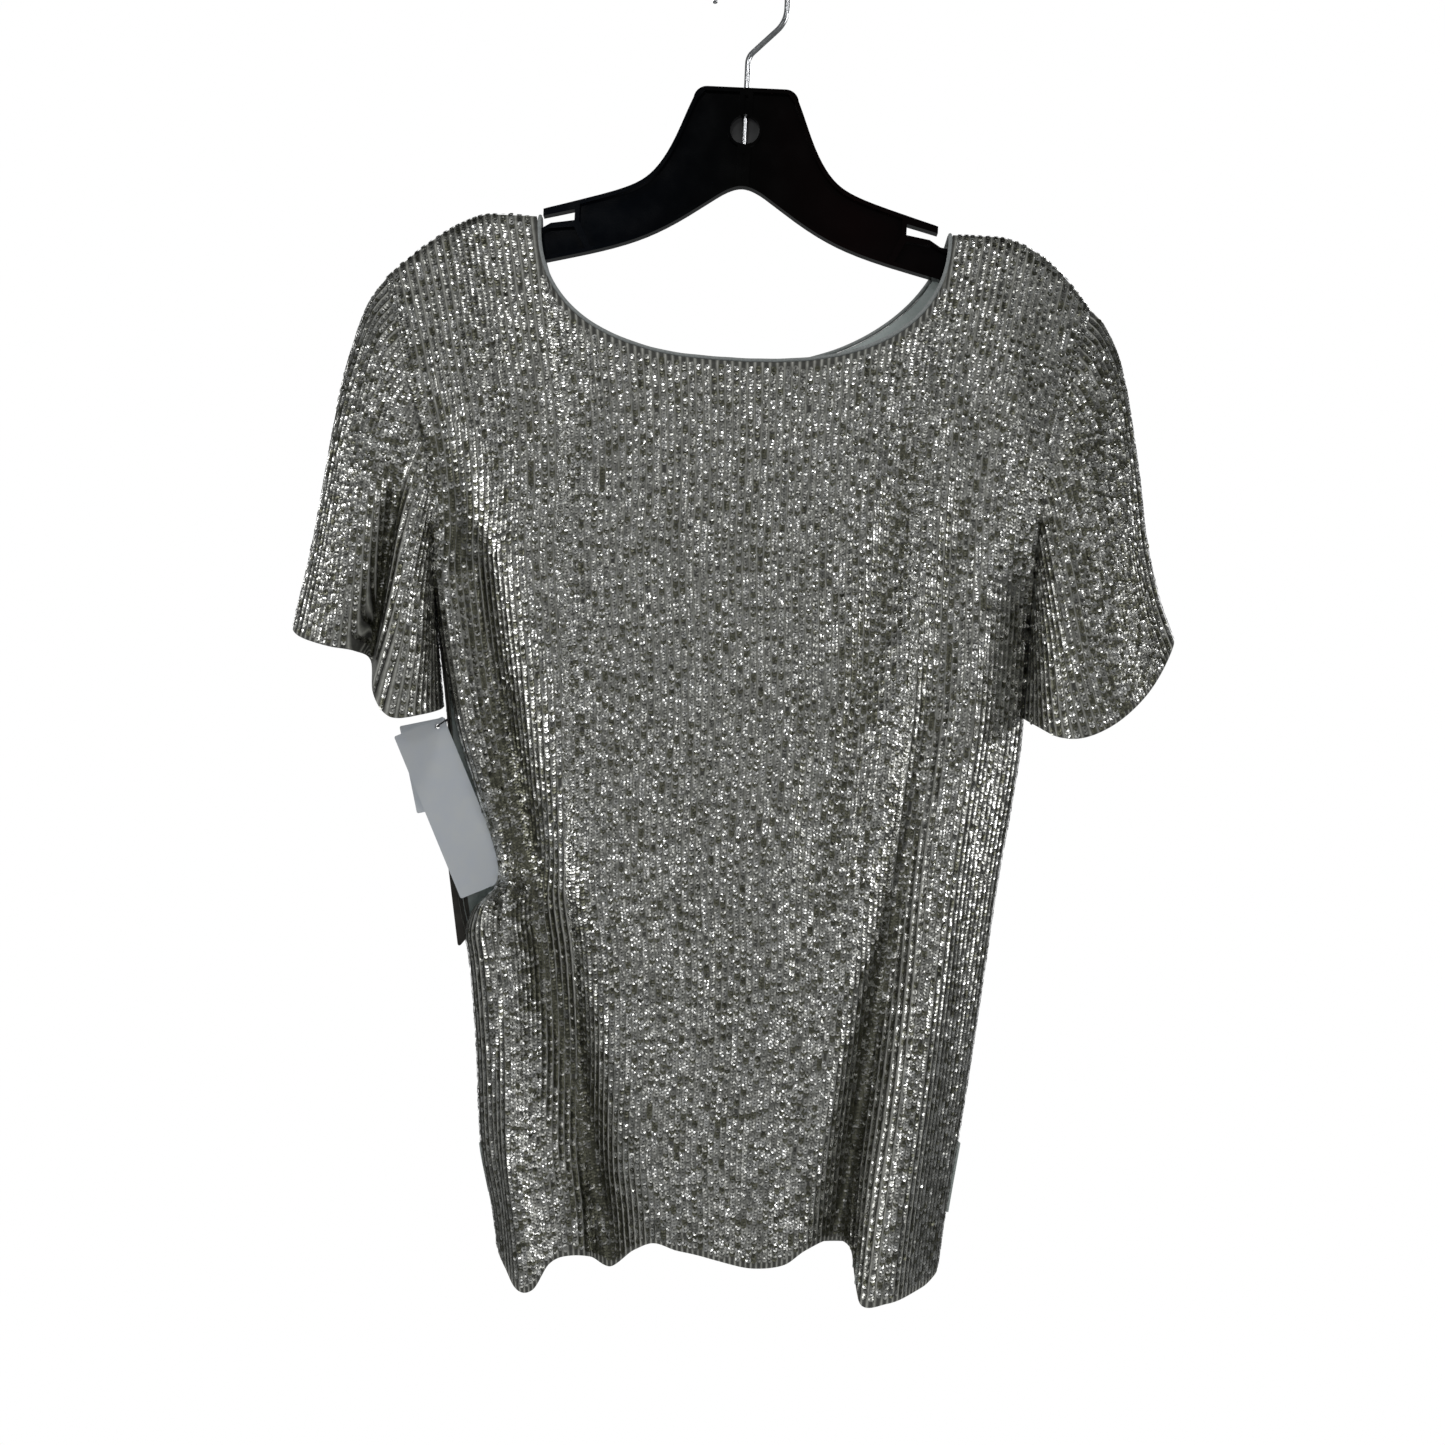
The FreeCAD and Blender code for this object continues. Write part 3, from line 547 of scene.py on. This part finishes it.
# Sequins in fold valleys come from the darker mix as painted shade; below is the depth at which it is
# complete.
PAINTED_SHADE_DEPTH = 9.0           # fold depth at which the sequins are all of the darker mix
MISSED_SHARE = 0.05          # sequins left out, as if lost
ROW_START = 1.5              # from the top of a row to its first sequin
HEM_DEPTH = 1.3              # how far each turned hem lies inside the knit
LINING_DEPTH = 2.9
LINING_LAST = 0.95           # share of the height at which the lining ends
ROLL_R = 1.25                # rolled edge of the neckline


def torso_half(side, name, sides, pieces):
    """Knit, sequins, lining and hem of half the garment."""
    s, v, points = panel_grid(side, NECK_OUT, 1.0, 0.0)
    rows, columns = v.shape
    middle = np.argmin(np.abs(v.mean(axis=1) - 0.45))
    lengths = row_lengths(points)[middle]
    row_of = lengths / ROW_PITCH
    uv = np.stack([np.broadcast_to(row_of, v.shape), v * 300], -1).reshape(-1, 2)
    knit = make_mesh(name + "_panel_knit", points.reshape(-1, 3),
                     grid_faces(rows, columns, flip=side < 0), [KNIT], BODY, uv=uv)
    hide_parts(name + "_panel")

    count = int(row_of[-1])
    row_s = np.interp(np.arange(count) + 0.999, row_of, s)
    row_s = row_s[(row_s > -0.985) & (row_s < 0.985)]
    tops = column_top(side, row_s, NECK_OUT + 2.4)
    many = np.linspace(0, 1, 500)
    found = []
    for one, top in zip(row_s, tops):
        line_v = top + (0.994 - top) * many
        line = torso(side, one, line_v)
        far = np.concatenate([[0.0], np.cumsum(np.linalg.norm(np.diff(line, axis=0), axis=1))])
        marks = np.arange(ROW_START + rng.random() * SEQUIN_PITCH, far[-1], SEQUIN_PITCH)
        marks = marks + rng.normal(0, 0.12, len(marks))
        marks = marks[rng.random(len(marks)) > MISSED_SHARE]
        at_v = np.interp(marks, far, line_v)
        found.append(np.stack([np.full(len(at_v), one), at_v], -1))
    spots = np.concatenate(found)
    spots[:, 0] += rng.normal(0, 0.0006, len(spots))
    place, normal, down = normals(lambda u, w: torso(side, u, w), spots[:, 0], spots[:, 1], 1)
    normal = side_out(side, normal)
    folds = NEAR_FOLDS if side < 0 else FAR_FOLDS
    # Painted shade: sequins in the near and far fold valleys come from the darker mix.
    hollow = np.clip(-fold_swell(folds, place[:, 0], place[:, 2]) / PAINTED_SHADE_DEPTH, 0.0, 1.0)
    sequins = []
    for part, chosen in enumerate(np.array_split(np.arange(len(spots)), pieces)):
        sequins.append(sequin_mesh(f"{name}_sequins_{part + 1}", place[chosen], normal[chosen], down[chosen],
                                   hollow[chosen], BODY, sides, 100 + part + 10 * side))

    _, lining_v, inner = panel_grid(side, NECK_OUT + 0.3, LINING_LAST, LINING_DEPTH, 150, 170)
    inner[..., 1] = side * np.maximum(0.5, inner[..., 1] * side)
    lining = make_mesh(name + "_lining_sheet", inner.reshape(-1, 3),
                       grid_faces(*lining_v.shape, flip=side < 0), [LINING], BODY)
    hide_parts(name + "_lining")

    hem_s = np.linspace(-0.97, 0.97, 260)
    hem_v = np.linspace(0.965, 1.0, 6)
    u, w = np.meshgrid(hem_s, hem_v)
    spot, out, _ = normals(lambda a, b: torso(side, a, b), u, w, 1)
    spot = spot - side_out(side, out) * HEM_DEPTH
    hem = make_mesh(name + "_hem_strip", spot.reshape(-1, 3), grid_faces(6, 260, flip=side < 0), [HEM], BODY)
    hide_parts(name + "_hem")
    return knit, lining, hem, sequins


def tube(name, line, radius, material, body, sides=10, squash=1.0):
    """A round roll that follows a line of points."""
    along = np.gradient(line, axis=0)
    along /= np.linalg.norm(along, axis=1, keepdims=True)
    up = np.tile(np.array([0.0, 1.0, 0.0]), (len(line), 1))
    first = np.cross(along, up)
    first /= np.linalg.norm(first, axis=1, keepdims=True) + 1e-12
    second = np.cross(along, first)
    turn = np.linspace(0, 2 * math.pi, sides, endpoint=False)
    ring = (np.cos(turn)[None, :, None] * first[:, None, :]
            + np.sin(turn)[None, :, None] * second[:, None, :] * squash)
    points = line[:, None, :] + ring * radius
    return make_mesh(name, points.reshape(-1, 3), grid_faces(len(line), sides, closed=True), [material], body)


def neck_roll(side, name):
    """The rolled edge of the neckline."""
    turn = np.linspace(0.0, 1.0, 400)
    x, z = neck_at(side, turn)
    z = np.minimum(z, SHOULDER_Z - 0.6)
    y = np.zeros_like(x)
    for k in range(len(x)):
        low_s = -1.0
        high_s = 1.0
        share = 0.0
        for _ in range(28):
            middle = (low_s + high_s) / 2
            if torso(side, np.array([middle]), np.array([share]))[0, 0] < x[k]:
                low_s = middle
            else:
                high_s = middle
            top = float(shoulder_z(TIP_X * math.sin(middle * math.pi / 2)))
            share = min(1.0, max(0.0, (top - z[k]) / (top - HEM_Z)))
        y[k] = torso(side, np.array([middle]), np.array([share]))[0, 1]
    line = np.stack([x, y, z], -1)
    line[:, 1] -= side * 0.8
    roll = tube(name + "_neck_roll", line, ROLL_R, BINDING, BODY, squash=1.1)
    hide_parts(name + "_neck_binding")
    return roll


near = torso_half(-1, "front", 8, 3)
far = torso_half(1, "back", 6, 3)
near_roll = neck_roll(-1, "front")
far_roll = neck_roll(1, "back")

# --- sleeves ------------------------------------------------------------------------------------

ROW_LEAN = 35.0              # degrees from upright, foot outward


def row_chart(points, mirror, lean):
    """Distance around the sleeve, measured square to the leaning rows, at each grid point."""
    across = np.array([mirror * math.cos(lean), 0.0, math.sin(lean)])
    c = points @ across
    y = points[..., 1]
    c_half = (c.max(axis=1) - c.min(axis=1)) / 2
    y_half = (y.max(axis=1) - y.min(axis=1)) / 2
    c_mid = (c.max(axis=1) + c.min(axis=1)) / 2
    y_mid = (y.max(axis=1) + y.min(axis=1)) / 2
    angle = np.arctan2((y_mid[:, None] - y) / y_half[:, None], (c - c_mid[:, None]) / c_half[:, None])
    angle = np.unwrap(angle, axis=1)
    angle -= 2 * math.pi * np.round(angle[:, [angle.shape[1] // 2]] / (2 * math.pi))
    turn = np.linspace(-1.5 * math.pi, 1.5 * math.pi, 1201)
    speed = np.hypot(c_half.mean() * np.sin(turn), y_half.mean() * np.cos(turn))
    arc = np.cumsum(speed) * (turn[1] - turn[0])
    return np.interp(angle, turn, arc - arc[600])


def sleeve_pieces(name, surface, mirror, lean, valley, shade):
    """Knit tube, its inside hem and its slanting rows of sequins.

    Valley is the share of darker sequins added along the sleeve's fold as painted shade, shade the share of
    them added all over as painted shade.
    """
    turns = np.linspace(-0.5, 0.5, 240)
    downs = np.linspace(0.0, 1.0, 130)
    u, w = np.meshgrid(turns, downs)
    points = surface(u % 1.0, w)
    chart = row_chart(points, mirror, math.radians(lean))
    uv = np.stack([chart / ROW_PITCH, w * 100], -1).reshape(-1, 2)
    knit = make_mesh(name + "_sleeve_knit", points.reshape(-1, 3),
                     grid_faces(130, 240, flip=mirror < 0), [KNIT], BODY, uv=uv)
    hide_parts(name + "_sleeve")

    found = []
    for k in range(int(chart.min() / ROW_PITCH), int(chart.max() / ROW_PITCH) + 1):
        level = (k + 0.999) * ROW_PITCH
        inside = (chart.min(axis=1) < level) & (chart.max(axis=1) > level)
        if inside.sum() < 4:
            continue
        row_w = downs[inside]
        row_u = np.array([np.interp(level, line, turns) for line in chart[inside]])
        line = surface(row_u % 1.0, row_w)
        far_along = np.concatenate([[0.0], np.cumsum(np.linalg.norm(np.diff(line, axis=0), axis=1))])
        marks = np.arange(ROW_START + rng.random() * SEQUIN_PITCH, far_along[-1] - 0.8, SEQUIN_PITCH)
        marks = marks + rng.normal(0, 0.12, len(marks))
        marks = marks[rng.random(len(marks)) > MISSED_SHARE]
        found.append(np.stack([np.interp(marks, far_along, row_u) % 1.0,
                               np.interp(marks, far_along, row_w)], -1))
    spots = np.concatenate(found)
    spots = spots[(spots[:, 0] > 0.004) & (spots[:, 0] < 0.996) & (spots[:, 1] < 0.99)]
    place, normal, _ = normals(surface, spots[:, 0], spots[:, 1], 1)
    centre = points.mean(axis=1)
    inside = np.stack([np.interp(spots[:, 1], downs, centre[:, k]) for k in range(3)], -1)
    flip = np.sign(np.sum((place - inside) * normal, axis=1, keepdims=True))
    normal = normal * np.where(flip == 0, 1, flip)
    axis = np.array([mirror * math.sin(math.radians(lean)), 0.0, -math.cos(math.radians(lean))])
    line = axis - normal * (normal @ axis)[:, None]
    line /= np.linalg.norm(line, axis=1, keepdims=True)
    # Painted shade: darker sequins along the sleeve's fold and, by shade, all over it.
    hollow = valley * np.exp(-((spots[:, 0] - VALLEY_TURN) / VALLEY_WIDTH)**2) * smooth(spots[:, 1] * 2.0)
    hollow = np.clip(hollow + shade, 0.0, 1.0)
    sequins = sequin_mesh(name + "_sleeve_sequins", place, normal, line, hollow, BODY, 8, 300 + mirror)

    hem_turns = np.linspace(0.0, 1.0, 200)
    hem_downs = np.linspace(0.9, 1.0, 6)
    u, w = np.meshgrid(hem_turns, hem_downs)
    spot = surface(u, w)
    inward = spot.mean(axis=1, keepdims=True) - spot
    inward /= np.linalg.norm(inward, axis=-1, keepdims=True)
    hem = make_mesh(name + "_sleeve_hem_strip", (spot + inward * HEM_DEPTH).reshape(-1, 3),
                    grid_faces(6, 200, flip=mirror < 0), [HEM], BODY)
    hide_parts(name + "_sleeve_hem")
    return knit, hem, sequins


# The last two numbers are painted shade: darker sequins along each sleeve's fold, mostly the left, and a
# share all over the right sleeve.
left = sleeve_pieces("left", left_sleeve, -1, ROW_LEAN, 1.0, 0.0)
right = sleeve_pieces("right", right_sleeve, 1, ROW_LEAN, 0.1, 0.35)

# --- CAD nodes that are shown as they are ---------------------------------------------------------

FINISH = {"hook_wire": CHROME, "hanger_frame": HANGER, "hook_lock_disc": GREY_DISC, "neck_label": LABEL,
          "size_label": LABEL, "care_label": LABEL, "swing_tag_front": CARD, "swing_tag_middle": CARD,
          "swing_tag_rear": PAINTED_SHADE_CARD, "tag_filament": FILAMENT}
for name, finish in FINISH.items():
    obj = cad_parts[name]
    obj.data.materials.clear()
    obj.data.materials.append(finish)

# --- stage, light and camera ----------------------------------------------------------------------


def plate(name, half, z, material):
    mesh = bpy.data.meshes.new(name)
    corners = [(-half, -half, z), (half, -half, z), (half, half, z), (-half, half, z)]
    mesh.from_pydata(corners, [], [(0, 1, 2, 3)])
    mesh.materials.append(material)
    obj = bpy.data.objects.new(name, mesh)
    bpy.context.scene.collection.objects.link(obj)
    return obj


FLOOR = mottled("pale_floor", (0.88, 0.88, 0.88), (0.92, 0.92, 0.92), 20.0, (0.8, 0.9), 0.02,
                Emission_Color=(1.0, 1.0, 1.0), Emission_Strength=0.3)
plate("floor", 0.42, -1.12, FLOOR)

world = bpy.data.worlds.new("studio")
bpy.context.scene.world = world
world.use_nodes = True
tree = world.node_tree
tree.nodes.clear()
seen = node(tree, "ShaderNodeBackground", Strength=1.0)
seen.inputs["Color"].default_value = (1.0, 1.0, 1.0, 1.0)
room = node(tree, "ShaderNodeBackground", Strength=0.12)
room.inputs["Color"].default_value = (0.97, 1.0, 1.0, 1.0)
path = tree.nodes.new("ShaderNodeLightPath")
choose = tree.nodes.new("ShaderNodeMixShader")
result = tree.nodes.new("ShaderNodeOutputWorld")
tree.links.new(path.outputs["Is Camera Ray"], choose.inputs["Fac"])
tree.links.new(room.outputs["Background"], choose.inputs[1])
tree.links.new(seen.outputs["Background"], choose.inputs[2])
tree.links.new(choose.outputs["Shader"], result.inputs["Surface"])


def area_light(name, place, aim, size, power, colour=(1.0, 1.0, 1.0)):
    data = bpy.data.lights.new(name, "AREA")
    data.shape = "DISK"
    data.size = size
    data.energy = power
    data.color = colour
    obj = bpy.data.objects.new(name, data)
    bpy.context.scene.collection.objects.link(obj)
    away = np.array(place) - np.array(aim)
    away = away / np.linalg.norm(away)
    side = np.cross([0.0, 0.0, 1.0], away)
    side /= np.linalg.norm(side)
    up = np.cross(away, side)
    turn = Matrix((side, up, away)).transposed().to_4x4()
    obj.matrix_world = Matrix.Translation(place) @ turn
    return obj


CENTRE = (0.0, 0.0, -0.5)
area_light("key", (-0.55, -2.2, 0.55), CENTRE, 0.4, 2.3)
area_light("level", (0.4, -2.2, -0.5), (0.0, 0.0, -0.7), 0.6, 1.6)
area_light("right", (1.5, -1.9, 0.5), CENTRE, 0.5, 3.3)
area_light("left", (-1.9, -1.3, 0.1), CENTRE, 0.6, 3.8)
area_light("side_right", (2.2, -0.5, -0.1), CENTRE, 0.8, 7.0)
area_light("side_left", (-2.2, -0.5, -0.1), CENTRE, 0.6, 6.0)
area_light("above", (-0.2, -1.0, 1.3), CENTRE, 0.4, 3.6)
area_light("behind", (0.9, 2.2, 0.8), CENTRE, 0.9, 16.0)
area_light("behind_left", (-1.2, 2.0, 0.1), CENTRE, 0.6, 8.0)

TILT = math.radians(2.6)
camera_data = bpy.data.cameras.new("camera")
camera_data.sensor_width = 36.0
camera_data.lens = 58.4
camera = bpy.data.objects.new("camera", camera_data)
bpy.context.scene.collection.objects.link(camera)
axes = Matrix(((math.cos(TILT), -math.sin(TILT), 0.0),
               (0.0, 0.0, -1.0),
               (math.sin(TILT), math.cos(TILT), 0.0)))
camera.matrix_world = Matrix.Translation((0.0029, -1.5, -0.4922)) @ axes.to_4x4()
bpy.context.scene.camera = camera
bpy.context.scene.view_settings.view_transform = "Standard"
